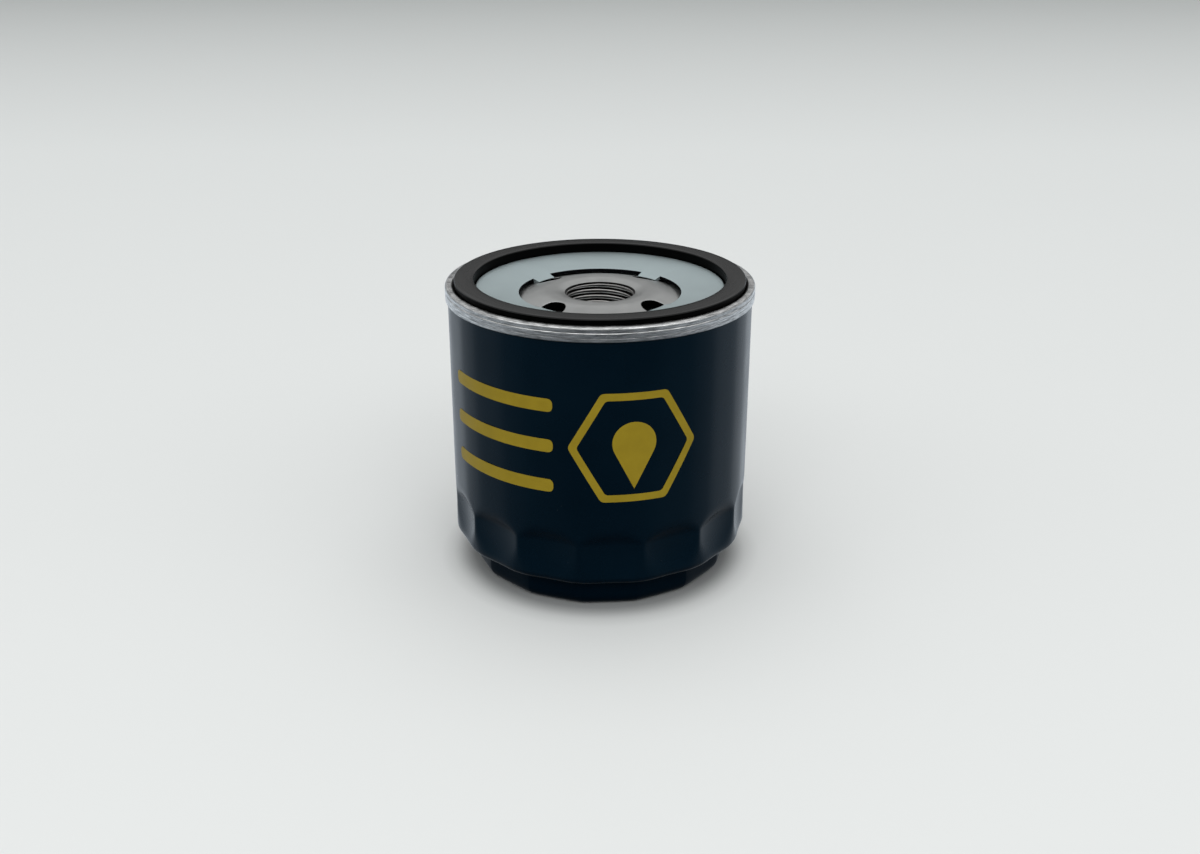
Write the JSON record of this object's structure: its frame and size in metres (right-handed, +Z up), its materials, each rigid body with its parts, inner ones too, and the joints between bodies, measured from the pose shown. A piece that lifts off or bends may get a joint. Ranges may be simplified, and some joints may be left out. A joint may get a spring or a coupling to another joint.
{
  "type": "oil filter",
  "caption": "Spin-on oil filter: fluted painted can, seamed lid with face gasket, threaded plate with inlet ports, and a sprung pleated element with its valves.",
  "frame": {"origin": "centre of the base that the filter stands on, thread end up", "axes": "+Z up along the thread's axis, out of the gasket end; -Y is the front, where the graphic is"},
  "size_m": [0.076, 0.076, 0.0744],
  "materials": {
    "can_paint": "gloss baked enamel",
    "zinc_sheet": "satin zinc plate",
    "sealant": "cured sealing compound",
    "plate_steel": "satin zinc-plated pressing with a cut thread",
    "gasket_rubber": "satin nitrile rubber",
    "valve_rubber": "matte nitrile rubber",
    "seal_rubber": "matte moulded rubber",
    "cap_steel": "yellow chromate steel pressing",
    "adhesive": "cured adhesive bead",
    "filter_paper": "resin-treated crimped filter paper",
    "clip_steel": "bright steel strip",
    "tube_steel": "perforated tinned steel",
    "seat_rubber": "matte rubber",
    "valve_steel": "pressed steel",
    "spring_steel": "oil-tempered spring wire"
  },
  "bodies": {
    "canister": {"can": "can_paint", "seaming_lid": "zinc_sheet", "seam_sealant": "sealant", "tapping_plate": "plate_steel", "sealing_gasket": "gasket_rubber", "support_spring": "spring_steel"},
    "element": {"element_seal": "seal_rubber", "upper_end_cap": "cap_steel", "upper_adhesive": "adhesive", "pleated_media": "filter_paper", "media_seam_clip": "clip_steel", "centre_tube": "tube_steel", "lower_adhesive": "adhesive", "lower_end_cap": "cap_steel", "bypass_seat": "seat_rubber", "bypass_spring": "spring_steel", "bypass_cage": "valve_steel"},
    "bypass_valve": {"bypass_disc": "valve_steel", "bypass_stem": "valve_steel"},
    "anti_drain": {"anti_drain_valve": "valve_rubber"}
  },
  "joints": [
    {"name": "element_float", "type": "slide", "parent": "canister", "child": "element", "axis": [0, 0, 1], "range_m": [-0.0015, 0], "stiffness_N_per_m": 6000, "springref_m": 0.01, "deforming": ["support_spring"]},
    {"name": "bypass_lift", "type": "slide", "parent": "element", "child": "bypass_valve", "axis": [0, 0, 1], "range_m": [0, 0.004], "stiffness_N_per_m": 2000, "springref_m": -0.0065, "deforming": ["bypass_spring"]},
    {"name": "anti_drain_flex", "type": "slide", "parent": "canister", "child": "anti_drain", "axis": [0, 0, 1], "range_m": [-0.0012, 0], "stiffness_N_per_m": 500, "springref_m": 0.001}
  ]
}
